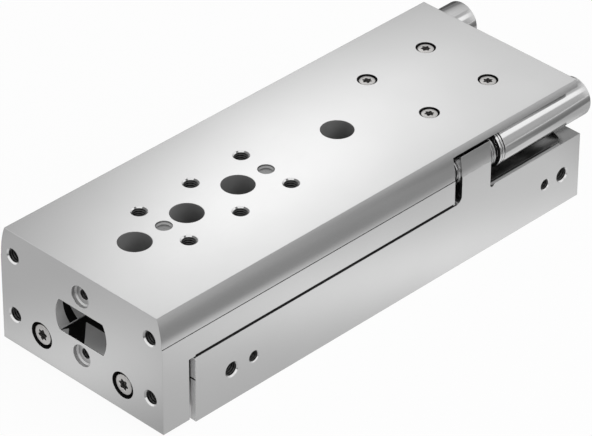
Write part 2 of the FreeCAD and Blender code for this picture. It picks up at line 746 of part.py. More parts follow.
def make_screws():
    up = FreeCAD.Vector(1, 0, 0)
    around = FreeCAD.Vector(0, 0, 1)
    rail_profile = screw_profile(screw_m3, rail_head, rail_head_height, rail_screw_length)
    rail_seat_height = rail_seat + rail_height - rail_sink_depth
    rail_screws = [turned("rail_screw", rail_profile, 0, y, rail_seat_height, up, 90)
                   for y in rail_hole_places()]
    carriage_length = height - carriage_sink_depth - roof + carriage_screw_reach
    carriage_profile = screw_profile(screw_m3, carriage_head, carriage_sink_depth - head_sink,
                                     carriage_length)
    carriage_screws = [turned("carriage_screw", carriage_profile, x, y, height - carriage_sink_depth, up, 90)
                       for x, y in carriage_screw_places()]
    plate_length = plate_thickness - plate_sink_depth + rod_thread_depth - screw_room
    plate_profile = screw_profile(screw_m4, plate_head, plate_sink_depth - head_sink, plate_length)
    plate_screws = [turned("plate_screw", plate_profile, bore_x * side, table_front + plate_sink_depth,
                           bore_height, around, 180) for side in (1, -1)]
    return [group("rail_screws", rail_screws), group("carriage_screws", carriage_screws),
            group("plate_screws", plate_screws)]


def ring(name, inner, outer, length, x, y, z):
    """A plain ring on an axis along Y, starting at y."""
    return turned(name, [(inner, 0), (outer, 0), (outer, length), (inner, length)], x, y, z)


def piston_grooves():
    """Start and length of the grooves of a piston: seal, magnet, seal."""
    return [(seal_edge, seal_width), ((piston_length - magnet_width) / 2, magnet_width),
            (piston_length - seal_edge - seal_width, seal_width)]


def make_cylinder(side, name):
    """The rod, piston and end pieces of one bore."""
    x = bore_x * side
    seat = seat_bore / 2 - seat_slack
    hole = screw_m4 / 2 + slack
    rod_body = turned("piston_rod_" + name, [
        (hole, 0), (rod / 2, 0), (rod / 2, piston_front - plate_back),
        (spigot / 2, piston_front - plate_back), (spigot / 2, piston_back - plate_back),
        (0, piston_back - plate_back), (0, rod_thread_depth), (hole, rod_thread_depth)],
        x, plate_back, bore_height)
    rim = bore / 2 - slack
    floor = rim - groove_depth
    steps = [(spigot / 2 + seat_slack, 0), (rim, 0)]
    for start, length in piston_grooves():
        steps += [(rim, start), (floor, start), (floor, start + length), (rim, start + length)]
    steps += [(rim, piston_length), (spigot / 2 + seat_slack, piston_length)]
    piston = turned("piston_" + name, steps, x, piston_front, bore_height)
    bush = ring("rod_bush_" + name, rod / 2 + slack, seat, bush_length,
                x, housing_front + ring_wire, bore_height)
    seal = ring("rod_seal_" + name, rod / 2 + seat_slack, seat, rod_seal_length,
                x, housing_front + ring_wire + bush_length, bore_height)
    cap = turned("cylinder_cap_" + name, [(0, 0), (seat, 0), (seat, cap_length), (0, cap_length)],
                 x, cap_front, bore_height)
    return [rod_body, piston, bush, seal, cap]


def make_cylinder_rings():
    """Seals, magnets and retaining rings of both bores."""
    seals, magnets, retainers = [], [], []
    rim = bore / 2 - seat_slack
    floor = bore / 2 - slack - groove_depth
    seat = seat_bore / 2 - seat_slack
    for side in (1, -1):
        x = bore_x * side
        for k, (start, length) in enumerate(piston_grooves()):
            y = piston_front + start
            if k == 1:
                magnets.append(ring("magnet", floor, bore / 2 - magnet_gap, length, x, y, bore_height))
            else:
                seals.append(ring("piston_seal", floor, rim, length, x, y, bore_height))
        for y in (housing_front, housing_rear - ring_wire):
            retainers.append(ring("retainer", seat - ring_depth, seat, ring_wire, x, y, bore_height))
    return [group("piston_seals", seals), group("piston_magnets", magnets),
            group("retaining_rings", retainers)]


def make_port_plugs():
    """Blanking plugs in the ports of the left side."""
    radius = thread_m5 / 2 - seat_slack
    profile = [(0, -plug_depth), (radius, -plug_depth), (radius, 0), (0, 0)]
    around = FreeCAD.Vector(0, 0, 1)
    plugs = [turned("port_plug", profile, -half_width + mouth, y, bore_height, around, 90)
             for y in (housing_front + front_port, housing_rear - rear_port)]
    return group("port_plugs", plugs)


def make_damper(name, x, front):
    """A damper cartridge: sleeve, collar, end plug and plunger. front is its stop's front face."""
    thread = damper_thread / 2 - seat_slack
    edge = damper_edge
    head_room = nose / 2 + slack * 2
    head_depth = nose_length - stop_gap + plunger_stroke + head_play
    bearing_end = head_depth + bearing_length
    barrel_start = stop_thickness + neck
    barrel_end = barrel_start + barrel_length
    plug_start = barrel_end - plug_length
    plug = chamber / 2 + plug_step
    rod_hole = plunger_rod / 2 + slack
    sleeve = turned(name + "_damper_sleeve", [
        (head_room, 0), (thread, 0), (thread, barrel_start), (barrel / 2 - edge, barrel_start),
        (barrel / 2, barrel_start + edge), (barrel / 2, barrel_end - edge),
        (barrel / 2 - edge, barrel_end), (plug, barrel_end), (plug, plug_start),
        (chamber / 2, plug_start), (chamber / 2, bearing_end), (rod_hole, bearing_end),
        (rod_hole, head_depth), (head_room, head_depth)], x, front, damper_height)
    inner = thread + seat_slack
    collar = turned(name + "_damper_collar", [
        (inner, 0), (barrel / 2 - edge, 0), (barrel / 2, edge), (barrel / 2, collar_length),
        (inner, collar_length)], x, front + barrel_start - collar_gap - collar_length, damper_height)
    end = turned(name + "_damper_plug", [
        (0, 0), (plug - seat_slack, 0), (plug - seat_slack, plug_length), (0, plug_length)],
        x, front + plug_start, damper_height)
    tip = slack - stop_gap
    disc = chamber / 2 - disc_gap
    disc_start = bearing_end + disc_play
    disc_end = disc_start + disc_length
    plunger = turned(name + "_plunger", [
        (0, tip), (nose / 2 - edge, tip), (nose / 2, tip + edge), (nose / 2, nose_length - stop_gap),
        (plunger_rod / 2, nose_length - stop_gap), (plunger_rod / 2, disc_start), (disc, disc_start),
        (disc, disc_end), (0, disc_end)], x, front, damper_height)
    return [sleeve, collar, end, plunger]


doc.recompute()
nodes = [make_housing(), make_table(), make_rail()]
nodes += make_carriage()
nodes += make_screws()
for side, name in ((1, "right"), (-1, "left")):
    nodes += make_cylinder(side, name)
nodes += make_cylinder_rings()
nodes.append(make_port_plugs())
nodes += make_damper("retract", damper_x, stop_front)
nodes += make_damper("advance", -damper_x, left_stop_front)
doc.recompute()

for thing in doc.Objects:
    if "Invalid" in thing.State or "Error" in thing.State:
        raise ValueError(f"{thing.Name} failed: {thing.State}")
for node in nodes:
    if node.Shape.isNull() or not node.Shape.isValid():
        raise ValueError(f"{node.Label} has no valid shape")

os.makedirs("parts", exist_ok=True)
for node in nodes:
    node.Shape.exportStep(f"parts/{node.Label}.step")
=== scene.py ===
# Looks of the pneumatic slide table: the finish of every surface, the screws, the threads and the
# dampers, with a floor, soft lights and the camera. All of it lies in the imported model's own frame.
# Sizes and places are in millimetres, and MM turns them into the frame's metres.
import bmesh
import bpy
import json
import math
from collections import namedtuple
from mathutils import Matrix, Vector


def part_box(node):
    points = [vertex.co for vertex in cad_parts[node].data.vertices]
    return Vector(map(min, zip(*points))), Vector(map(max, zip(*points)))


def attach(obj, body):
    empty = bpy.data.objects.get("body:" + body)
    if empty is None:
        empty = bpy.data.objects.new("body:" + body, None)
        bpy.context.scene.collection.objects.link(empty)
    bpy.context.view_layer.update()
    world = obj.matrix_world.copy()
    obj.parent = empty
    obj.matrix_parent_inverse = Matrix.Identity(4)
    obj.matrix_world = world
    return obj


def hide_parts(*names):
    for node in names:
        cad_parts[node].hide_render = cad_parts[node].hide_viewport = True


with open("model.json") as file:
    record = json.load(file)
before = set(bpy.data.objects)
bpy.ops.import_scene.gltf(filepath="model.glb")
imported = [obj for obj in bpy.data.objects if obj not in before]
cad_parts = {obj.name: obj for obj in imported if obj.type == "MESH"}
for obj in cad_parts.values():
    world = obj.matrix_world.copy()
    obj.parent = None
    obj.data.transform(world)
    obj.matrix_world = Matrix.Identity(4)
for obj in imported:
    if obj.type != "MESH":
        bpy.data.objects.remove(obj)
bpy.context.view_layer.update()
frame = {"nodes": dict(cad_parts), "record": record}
nodes = frame["nodes"]
mounts = {mount["name"]: mount for mount in frame["record"]["mounts"]}

MM = 0.001
TURN = 2 * math.pi
X, Y, Z = Vector((1, 0, 0)), Vector((0, 1, 0)), Vector((0, 0, 1))


def box_mm(node):
    """Lowest and highest corners of a node at rest."""
    low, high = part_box(node)
    return low / MM, high / MM


table_low, table_high = box_mm("slide_table")
housing_low, housing_high = box_mm("housing")

# Levels below the table's top: the top of the housing's sides, the table's skirts just above them, the
# table's underside over the dampers, and the edge from which its sides curve in
SHOULDER = table_high.z - 18.45
SKIRT_BOTTOM = SHOULDER + 0.6
WING_BOTTOM = table_high.z - 2.3
EDGE_LEVEL = table_high.z - 9.8

# The rear face of the stop that holds the right damper, where the trough begins
STOP_REAR = housing_high.y - 39.15


# The camera: angles in degrees, the point that it looks at, and how far it moves right and up from there
VIEW_AZIMUTH = 44.613
VIEW_ELEVATION = 34.403
VIEW_ROLL = 0.233
VIEW_TARGET = Vector((0, -9.35, 19))
VIEW_OFFSET = (1.522, -0.363)
VIEW_DISTANCE = 1199.631
VIEW_END = 20000
FOCAL_PIXELS = 4175.956
IMAGE_WIDTH = 592
SENSOR_WIDTH = 36


def make_camera():
    """The camera at the photograph's viewing angle."""
    az, el, roll = (math.radians(v) for v in (VIEW_AZIMUTH, VIEW_ELEVATION, VIEW_ROLL))
    back = Vector((math.sin(az) * math.cos(el), -math.cos(az) * math.cos(el), math.sin(el)))
    level = Vector((math.cos(az), math.sin(az), 0))
    upright = back.cross(level)
    right = level * math.cos(roll) + upright * math.sin(roll)
    up = upright * math.cos(roll) - level * math.sin(roll)
    place = VIEW_TARGET + right * VIEW_OFFSET[0] + up * VIEW_OFFSET[1] + back * VIEW_DISTANCE
    data = bpy.data.cameras.new("camera")
    data.sensor_width = SENSOR_WIDTH
    data.lens = FOCAL_PIXELS * SENSOR_WIDTH / IMAGE_WIDTH
    data.clip_end = VIEW_END * MM
    camera = bpy.data.objects.new("camera", data)
    camera.matrix_world = Matrix.Translation(place * MM) @ Matrix((right, up, back)).transposed().to_4x4()
    bpy.context.scene.collection.objects.link(camera)
    bpy.context.scene.camera = camera


class Graph:
    """The nodes of one material or world, added and joined by short calls."""

    def __init__(self, owner, kind="Material"):
        owner.use_nodes = True
        self.owner = owner
        self.tree = owner.node_tree
        self.tree.nodes.clear()
        self.output = self.add("ShaderNodeOutput" + kind)

    def add(self, kind, settings=None, **sockets):
        """Adds a node; a socket's name has underscores for its spaces."""
        node = self.tree.nodes.new(kind)
        for key, value in (settings or {}).items():
            setattr(node, key, value)
        for key, value in sockets.items():
            self.set(node, key.replace("_", " "), value)
        return node

    def set(self, node, socket, value):
        """Joins a socket to another node's output, or gives it a plain value."""
        if isinstance(value, bpy.types.NodeSocket):
            self.tree.links.new(value, node.inputs[socket])
        else:
            node.inputs[socket].default_value = value

    def noise(self, scale, detail=2.0, stretch=(1, 1, 1)):
        """Noise over the piece's own coordinates; scale is in cells per metre."""
        place = self.add("ShaderNodeTexCoord").outputs["Object"]
        spread = self.add("ShaderNodeMapping", Vector=place, Scale=stretch)
        noise = self.add("ShaderNodeTexNoise", Vector=spread.outputs[0], Scale=scale, Detail=detail)
        return noise.outputs[0]

    def ranged(self, value, low, high, source=(0.3, 0.7)):
        """Maps a value that runs over source to one from low to high."""
        node = self.add("ShaderNodeMapRange", Value=value, From_Min=source[0], From_Max=source[1],
                        To_Min=low, To_Max=high)
        return node.outputs[0]

    def blend(self, factor, first, second):
        """A colour between two colours; the node's colour sockets are 6 and 7, and its output 2."""
        node = self.add("ShaderNodeMix", {"data_type": "RGBA"})
        self.set(node, 0, factor)
        self.set(node, 6, first)
        self.set(node, 7, second)
        return node.outputs[2]

    def between(self, factor, first, second):
        """A number between two numbers; the node's number sockets are 2 and 3, and its output 0."""
        node = self.add("ShaderNodeMix", {"data_type": "FLOAT"})
        self.set(node, 0, factor)
        self.set(node, 2, first)
        self.set(node, 3, second)
        return node.outputs[0]

    def maths(self, operation, *values, kind="ShaderNodeMath"):
        """A number worked out from numbers, or from vectors by a vector node."""
        node = self.add(kind, {"operation": operation})
        for i, value in enumerate(values):
            self.set(node, i, value)
        return node.outputs["Value"]

    def finish(self, shader):
        """Joins the shader to the output and gives back the material or world."""
        self.tree.links.new(shader, self.output.inputs["Surface"])
        return self.owner


def grey(level, warmth=0.0):
    """A grey, a little yellow when it has warmth."""
    return (level + warmth, level, level - warmth, 1)


def toned(colour, factor, more=0.0):
    """A darker or lighter version of a colour."""
    return tuple(min(c * factor + more, 1) for c in colour[:3]) + (1,)


# Broad patches of tone in cells per metre, and the cosines between the true and the rounded normal
# over which an edge goes from rubbed bright, from use and as a painted highlight, to plain
METAL_PATCHES = 35
SOFT_PATCHES = 60
WEAR_AND_HIGHLIGHT_COSINES = (0.75, 0.98)
WEAR_AND_HIGHLIGHT_LEVEL = 0.95
BEVEL_SAMPLES = 6


def metal(name, colour, rough, grain, stretch, depth, edge=0.12, edge_wear_and_highlight=0.25, spread=0.05):
    """A metal with fine grain, a little variation in tone, and rounded edges, brightened from use and as
    painted highlight.
    """
    g = Graph(bpy.data.materials.new(name))
    fine = g.noise(grain, 3.0, stretch)
    rounded = g.add("ShaderNodeBevel", {"samples": BEVEL_SAMPLES}, Radius=edge * MM).outputs[0]
    flat = g.add("ShaderNodeNewGeometry").outputs["Normal"]
    cosine = g.maths("DOT_PRODUCT", rounded, flat, kind="ShaderNodeVectorMath")
    # Edges brighten towards pale grey, partly as from use and partly as painted highlight
    wear_and_highlight = g.ranged(cosine, edge_wear_and_highlight, 0.0, WEAR_AND_HIGHLIGHT_COSINES)
    patches = g.ranged(g.noise(METAL_PATCHES, 3.0), 0, 1)
    tone = g.blend(patches, toned(colour, 1 - spread), toned(colour, 1 + spread))
    tone = g.blend(wear_and_highlight, tone, grey(WEAR_AND_HIGHLIGHT_LEVEL))
    bump = g.add("ShaderNodeBump", Height=fine, Strength=0.6, Distance=depth * MM, Normal=rounded)
    shader = g.add("ShaderNodeBsdfPrincipled", Base_Color=tone, Roughness=g.ranged(fine, *rough),
                   Normal=bump.outputs[0], Metallic=1.0)
    return g.finish(shader.outputs[0])


def soft(name, colour, rough, grain, depth, shine=0.5):
    """A moulded plastic, a rubber, or a matt lining of painted light and shade, with a fine skin; shine
    is its specular level.
    """
    g = Graph(bpy.data.materials.new(name))
    fine = g.noise(grain, 4.0)
    patches = g.ranged(g.noise(SOFT_PATCHES, 2.0), 0, 1)
    tone = g.blend(patches, colour, toned(colour, 1.5, 0.01))
    bump = g.add("ShaderNodeBump", Height=fine, Strength=0.5, Distance=depth * MM)
    shader = g.add("ShaderNodeBsdfPrincipled", Base_Color=tone, Roughness=g.ranged(fine, *rough),
                   Normal=bump.outputs[0], Specular_IOR_Level=shine)
    return g.finish(shader.outputs[0])


# The body's roughness, and how grain is drawn out: along the body, in rings about it, or not at all
SATIN = (0.18, 0.21)
ALONG = (1, 0.04, 1)
RINGS = (0.02, 1, 0.02)
EVEN = (1, 1, 1)

# Metals: colour, least and most roughness, grain in cells per metre and how it is drawn out, and the
# grain's depth; some give the bright edge's width, how much it brightens from use and as painted
# highlight, and the spread of the tone too
METALS = {
    "housing_metal": (grey(0.60), SATIN, 5200, ALONG, 0.0003, 0.12, 0.25, 0.02),
    "table_metal": (grey(0.60), SATIN, 5200, ALONG, 0.0003, 0.12, 0.25, 0.02),
    "guide_steel": (grey(0.48), (0.18, 0.3), 6000, ALONG, 0.004),
    "bearing_steel": (grey(0.7), (0.05, 0.12), 3000, EVEN, 0.001),
    "screw_steel": (grey(0.50, 0.01), (0.28, 0.42), 7000, EVEN, 0.01, 0.08),
    "ring_steel": (grey(0.10), (0.35, 0.5), 7000, EVEN, 0.01, 0.08, 0.1),
    "magnet": (grey(0.12), (0.4, 0.6), 9000, EVEN, 0.02),
    "bush_bronze": ((0.55, 0.38, 0.2, 1), (0.25, 0.4), 6000, RINGS, 0.005),
    "cap_metal": (grey(0.5), (0.25, 0.4), 6000, EVEN, 0.005),
    "rod_chrome": (grey(0.65), (0.05, 0.12), 6000, RINGS, 0.001),
    "piston_metal": (grey(0.5), (0.25, 0.4), 6000, RINGS, 0.005),
    "damper_nickel": (grey(0.62), (0.1, 0.16), 7000, RINGS, 0.0015),
    "damper_plug_steel": (grey(0.4), (0.25, 0.4), 7000, EVEN, 0.005),
    "plunger_steel": (grey(0.5), (0.1, 0.2), 7000, EVEN, 0.002),
    # Near black as painted shade in the threaded holes and in the screws' sockets
    "thread_painted_shade": (grey(0.045), (0.25, 0.4), 7000, EVEN, 0.004, 0.05, 0.05),
    # Rougher turned recesses, darker than the body's metal as painted shade
    "recess_metal": (grey(0.46), (0.32, 0.48), 9000, EVEN, 0.004, 0.05, 0.1),
    "pin_metal": (grey(0.25), (0.3, 0.42), 9000, EVEN, 0.006, 0.05, 0.1),
    # Darker as painted shade, with strongly brightened edges as painted highlights on the neck's ribs
    "neck_painted_shade_and_highlight": (grey(0.45), (0.2, 0.3), 7000, RINGS, 0.002, 0.05, 0.6),
    # Darker than the housing as painted shade in the trough
    "trough_painted_shade_metal": (grey(0.22), (0.25, 0.35), 5200, ALONG, 0.002, 0.05, 0.0),
}

# Plastic, rubber, and linings of painted light and shade: colour, least and most roughness, grain and its
# depth, and any shine
SOFTS = {
    "cap_plastic": (grey(0.03), (0.45, 0.6), 6000, 0.02),
    "seal_rubber": (grey(0.02), (0.6, 0.8), 9000, 0.02),
    # Dark grey as painted shade on the walls of the access holes and on the cut starts of threads
    "bore_painted_shade": (grey(0.165), (0.5, 0.6), 5000, 0.002),
    # Near black as painted shade in gaps, counterbores, undercuts, the window and the edge lines
    "gap_painted_shade": (grey(0.004), (0.5, 0.6), 5000, 0.002, 0.04),
    # Grey as painted light on the window's wall and floor
    "window_painted_light": (grey(0.50), (0.3, 0.4), 5000, 0.002),
    # A pale line of painted highlight along the trough's rim
    "rim_painted_highlight": (grey(0.32), (0.3, 0.4), 5000, 0.002),
    # Pale as painted light in the slot beside the front plate, and as a painted glint in the window
    "slot_painted_light": (grey(0.8), (0.3, 0.4), 5000, 0.002),
}
finishes = {name: metal(name, *row) for name, row in METALS.items()}
finishes.update((name, soft(name, *row)) for name, row in SOFTS.items())


def dress_nodes():
    """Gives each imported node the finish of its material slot."""
    for part in frame["record"]["subparts"]:
        mesh = nodes[part["node"]].data
        for i in range(len(mesh.materials)):
            mesh.materials[i] = finishes[part["material_slot"]]


# The least angle of a sharp edge, how far a lining stands off the wall that it covers, by how many
# radians one on a round wall stops short of the wall's edge, and the radius at the point of a drilled
# cone
SHARP_ANGLE = math.radians(28)
LIFT = 0.004
ARC_MARGIN = 0.01
POINT = 0.05


def new_piece(name, rings, finish, body, place=Matrix.Identity(4), tube=False):
    """A mesh from rings of points, each joined to the next; a tube's last ring joins its first."""
    mesh = bpy.data.meshes.new(name)
    bm = bmesh.new()
    loops = [[bm.verts.new(place @ Vector([c * MM for c in point])) for point in ring] for ring in rings]
    count = len(loops[0])
    pairs = list(zip(loops, loops[1:]))
    if tube:
        pairs.append((loops[-1], loops[0]))
    for lower, upper in pairs:
        for i in range(count):
            j = (i + 1) % count
            bm.faces.new((lower[i], lower[j], upper[j], upper[i]))
    if not tube:
        bm.faces.new(reversed(loops[0]))
        bm.faces.new(loops[-1])
    bmesh.ops.recalc_face_normals(bm, faces=bm.faces)
    bm.to_mesh(mesh)
    bm.free()
    mesh.shade_smooth()
    mesh.set_sharp_from_angle(angle=SHARP_ANGLE)
    mesh.materials.append(finishes[finish])
    piece = bpy.data.objects.new(name, mesh)
    bpy.context.scene.collection.objects.link(piece)
    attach(piece, body)
    return piece


def lathe(profile, count):
    """Rings about the local Z axis from (radius, height) pairs; either may be a function of the angle."""
    rings = []
    for pair in profile:
        ring = []
        for i in range(count):
            angle = TURN * i / count
            radius, height = (value(angle) if callable(value) else value for value in pair)
            ring.append((radius * math.cos(angle), radius * math.sin(angle), height))
        rings.append(ring)
    return rings


def facing(place, direction, twist=0.0):
    """Stands a piece's local Z axis along direction, at place."""
    turn = Vector(direction).to_track_quat("Z", "Y").to_matrix().to_4x4()
    return Matrix.Translation(Vector(place) * MM) @ turn @ Matrix.Rotation(twist, 4, "Z")


def six_lobes(size):
    """Outline of a six-lobe socket; size is the width over its points."""
    middle, lobe = 0.428, 0.072
    return lambda angle: size * (middle + lobe * math.cos(6 * angle))


def hexagon(size):
    """Outline of a hexagon socket; size is its width over the flats."""
    sector = TURN / 6
    return lambda angle: size / 2 / math.cos(angle % sector - sector / 2)


def resized(outline, share=1.0, more=0.0):
    """An outline scaled by share and then grown by more."""
    return lambda angle: outline(angle) * share + more


def pattern(name):
    """The holes of a bolt pattern, or the one hole of another mount, and their axis."""
    mount = mounts[name]
    axis = Vector(mount["axis"])
    across = [v for v in (X, Y, Z) if abs(v.dot(axis)) < 0.5]
    halves = [mount["dims"].get(key, 0) / 2 for key in ("spacing_x_mm", "spacing_y_mm")]
    spots = [Vector(mount["pos_m"]) / MM]
    for direction, half in zip(across, halves):
        if half:
            spots = [spot + direction * half * sign for spot in spots for sign in (1, -1)]
    return spots, axis


# Vertices that are nearer to each other than this are one
SAME_PLACE = 0.001


def solids_of(node):
    """Lowest and highest corners of the loose solids in a node's mesh."""
    bm = bmesh.new()
    bm.from_mesh(nodes[node].data)
    bmesh.ops.remove_doubles(bm, verts=bm.verts, dist=SAME_PLACE * MM)
    left = set(bm.verts)
    boxes = []
    while left:
        stack = [left.pop()]
        found = []
        while stack:
            vert = stack.pop()
            found.append(vert.co)
            for edge in vert.link_edges:
                other = edge.other_vert(vert)
                if other in left:
                    left.remove(other)
                    stack.append(other)
        boxes.append((Vector(map(min, *found)) / MM, Vector(map(max, *found)) / MM))
    bm.free()
    return sorted(boxes, key=lambda box: tuple(round(v, 2) for corner in box for v in corner))


# Threaded holes: core radius, pitch and the chamfer at the mouth; how the turns are twisted about the
# axis, their height and how steeply they rise, and the depth of a port's thread
Thread = namedtuple("Thread", "core pitch chamfer")
M5 = Thread(2.1, 0.8, 0.45)
M4 = Thread(1.65, 0.7, 0.3)
M4_IN_RECESS = Thread(1.65, 0.7, 0.02)
THREAD_TWIST = 0.9
TURN_HEIGHT = 0.32
TURN_SLOPE = 3.2
PORT_DEPTH = 7

# A cut start shows as runs of painted shade round the chamfer, in degrees, up to a share of the chamfer's
# height
MOUTH_RUNS = ((-80, -19), (19, 38))
MOUTH_TWIST = math.radians(-45)
MOUTH_FOOT = 0.04
MOUTH_TOP = 0.9
MOUTH_BETWEEN = 0.12


def thread(name, size, depth, spot, axis, body):
    """The turns of a threaded hole, as a thin liner in dark painted shade that starts under the chamfer.
    """
    steps = 8
    outer = size.core - 0.015
    inner = outer - 0.03
    rows = int(depth / size.pitch * steps)

    def turn_at(drop):
        def radius(angle):
            phase = (drop / size.pitch + angle / TURN) % 1.0
            return inner - TURN_HEIGHT * max(0.0, 1 - abs(phase - 0.5) * TURN_SLOPE)
        return radius

    profile = [(turn_at(depth * k / rows), -depth * k / rows) for k in range(rows + 1)]
    profile += [(outer, -depth), (outer, 0)]
    place = facing(spot - axis * size.chamfer, axis, THREAD_TWIST)
    new_piece(name, lathe(profile, count=40), "thread_painted_shade", body, place, tube=True)


def mouth(name, size, spot, axis, body):
    """The cut start of a thread, in runs of painted shade on its chamfer."""
    def on_chamfer(share, lift):
        def up(angle):
            degrees = math.degrees(angle)
            inside = any((degrees - first) % 360 <= last - first for first, last in MOUTH_RUNS)
            return size.chamfer * (share if inside else min(share, MOUTH_BETWEEN))
        return lambda angle: size.core + up(angle) - lift, lambda angle: up(angle) - size.chamfer

    wall = 0.03
    bottom = -size.chamfer - 0.3
    profile = [on_chamfer(MOUTH_TOP, 0.02), on_chamfer(MOUTH_FOOT, wall), (size.core - wall, bottom),
               (size.core - LIFT, bottom), on_chamfer(MOUTH_FOOT, LIFT), on_chamfer(MOUTH_TOP, LIFT)]
    place = facing(spot, axis, MOUTH_TWIST)
    new_piece(name, lathe(profile, count=96), "bore_painted_shade", body, place, tube=True)


def make_threads():
    """Turns in every threaded hole that shows, and the cut starts in the table's top."""
    rows = [("table_threads", M5, 6.8, "table"), ("table_threads_middle", M5, 6.8, "table"),
            ("front_threads", M5, 8, "table"), ("front_centre_threads", M4_IN_RECESS, 7, "table"),
            ("base_threads", M5, 8, "housing"), ("side_threads", M4, 6, "housing")]
    for name, size, depth, body in rows:
        spots, axis = pattern(name)
        for k, spot in enumerate(spots):
            thread(f"{name}_turns_{k + 1}", size, depth, spot, axis, body)
            if axis == Z:
                mouth(f"{name}_mouth_{k + 1}", size, spot, axis, body)
    for name in ("air_port_front", "air_port_rear"):
        (spot,), axis = pattern(name)
        lip = Vector((housing_high.x, spot.y, spot.z))
        thread(name + "_turns", M5, PORT_DEPTH, lip, axis, "housing")


# Screws: head width and height, edge break, shank, socket outline and depth; and how much higher a head
# stands than in the solids
Screw = namedtuple("Screw", "head height edge shank socket depth")
CARRIAGE_SCREW = Screw(5.15, 2.6, 0.45, 3, six_lobes(2.95), 1.7)
PLATE_SCREW = Screw(6.6, 4, 0.55, 4, six_lobes(3.7), 2.2)
RAIL_SCREW = Screw(5.5, 3, 0.4, 3, hexagon(2.5), 1.6)
HEAD_RISE = 0.35


def screw(name, kind, length, place, body):
    """A screw whose head seats at the local origin, with its socket up the local Z axis."""
    head, shank = kind.head / 2, kind.shank / 2
    floor = kind.height - kind.depth
    cone, fillet, lip = 0.7, 0.12, 0.1
    profile = [(POINT, floor - cone), (resized(kind.socket, 0.72), floor),
               (resized(kind.socket, 0.985), floor + fillet), (kind.socket, kind.height - lip),
               (resized(kind.socket, more=0.09), kind.height), (head - kind.edge, kind.height),
               (head - kind.edge * 0.35, kind.height - kind.edge * 0.3), (head, kind.height - kind.edge),
               (head, 0), (shank, 0), (shank, -length)]
    return new_piece(name, lathe(profile, count=96), "screw_steel", body, place)


def replace_screws(node, kind, axis, body, twists):
    """Detailed screws, with a disc of painted shade in each socket, in place of a node's plain ones."""
    for k, (low, high) in enumerate(solids_of(node)):
        length = abs((high - low).dot(axis))
        top = (low + high) / 2 + axis * (length / 2 + HEAD_RISE)
        place = facing(top - axis * kind.height, axis, twists[k])
        screw(f"{node}_{k + 1}", kind, length - kind.height, place, body)
        floor = kind.height - kind.depth
        outline = resized(kind.socket, 0.9)
        disc = [(outline, floor + 0.16), (outline, floor + 0.2), (POINT, floor + 0.05)]
        new_piece(f"{node}_{k + 1}_socket", lathe(disc, count=48), "thread_painted_shade", body, place)
    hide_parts(node)


def make_screws():
    """All the screws, each turned about its axis by an angle of its own."""
    replace_screws("carriage_screws", CARRIAGE_SCREW, Z, "table", (0.5, 1.9, 3.1, 4.4))
    replace_screws("plate_screws", PLATE_SCREW, -Y, "table", (0.3, 0.9))
    replace_screws("rail_screws", RAIL_SCREW, Z, "housing", (0.4, 0.1, 0.8, 0.6))


# Holes through the table: how far the access holes are from the rail's front end, and each kind's
# radius and depth
ACCESS_HOLES = (7.5, 27.5, 47.5, 87.5)
ACCESS_SIZE = (5, 8.1)
CARRIAGE_COUNTERBORE = (3.05, 3.15)
PLATE_COUNTERBORE = (4.2, 4.5)


def liner(name, size, start, finish, spot, axis):
    """A thin tube on the wall of a hole in the table, with a rounded top below the mouth."""
    radius, depth = size
    inner = radius - 0.04
    outer = radius - LIFT
    profile = [(inner, -start - 0.05), (inner, -depth), (outer, -depth), (outer, -start)]
    new_piece(name, lathe(profile, count=64), finish, "table", facing(spot, axis), tube=True)


def line_holes():
    """Painted shade on the walls of the access holes and of the counterbores of the table's screws."""
    rail_front = box_mm("guide_rail")[0].y
    for k, along in enumerate(ACCESS_HOLES):
        spot = (0, rail_front + along, table_high.z)
        liner(f"access_bore_{k + 1}", ACCESS_SIZE, 0.12, "bore_painted_shade", spot, Z)
    for k, (low, high) in enumerate(solids_of("carriage_screws")):
        middle = (low + high) / 2
        spot = (middle.x, middle.y, table_high.z)
        liner(f"carriage_counterbore_{k + 1}", CARRIAGE_COUNTERBORE, 0.1, "gap_painted_shade", spot, Z)
    for k, (low, high) in enumerate(solids_of("plate_screws")):
        middle = (low + high) / 2
        spot = (middle.x, table_low.y, middle.z)
        liner(f"plate_counterbore_{k + 1}", PLATE_COUNTERBORE, 0.1, "gap_painted_shade", spot, -Y)


def arc_ring(centre_x, centre_z, radius, middle, half, lifts, steps, depth_at):
    """A thin band on a round wall along Y: its face, then its back; depth_at gives y from z."""
    ring = []
    for lift, way in zip(lifts, (1, -1)):
        for i in range(steps + 1):
            angle = middle + way * half * (2 * i / steps - 1)
            z = centre_z + (radius - lift) * math.sin(angle)
            ring.append((centre_x + (radius - lift) * math.cos(angle), depth_at(z), z))
    return ring


# The trough round the right damper's axis: its radius and that of its rounded end, how far the lining's
# face and back stand off it, how far below its edge they end, and where the lining has its rings, from
# the stop: the start, where the rounded end begins, and on to where the metal runs out
TROUGH_RADIUS = 9.75
TROUGH_ROUND = 5
TROUGH_LIFTS = (0.04, 0.005)
TROUGH_EDGE = 0.02
TROUGH_RINGS = (0.1, 30.7, 31.65, 32.35, 32.95, 33.35, 33.65)


def line_trough():
    """The trough's floor, with its rounded end, a little rougher than the housing and darker as painted
    shade.
    """
    low, high = box_mm("retract_damper_sleeve")
    axis = (low + high) / 2
    drop = axis.z - SHOULDER + TROUGH_EDGE
    rings = []
    for along in TROUGH_RINGS:
        past = max(0, along - TROUGH_RINGS[1])
        radius = TROUGH_RADIUS - TROUGH_ROUND + math.sqrt(TROUGH_ROUND ** 2 - past ** 2)
        half = math.acos(drop / radius) - ARC_MARGIN
        rings.append(arc_ring(axis.x, axis.z, radius, -math.pi / 2, half, TROUGH_LIFTS, 24,
                              lambda z: STOP_REAR + along))
    new_piece("trough_lining", rings, "trough_painted_shade_metal", "housing")


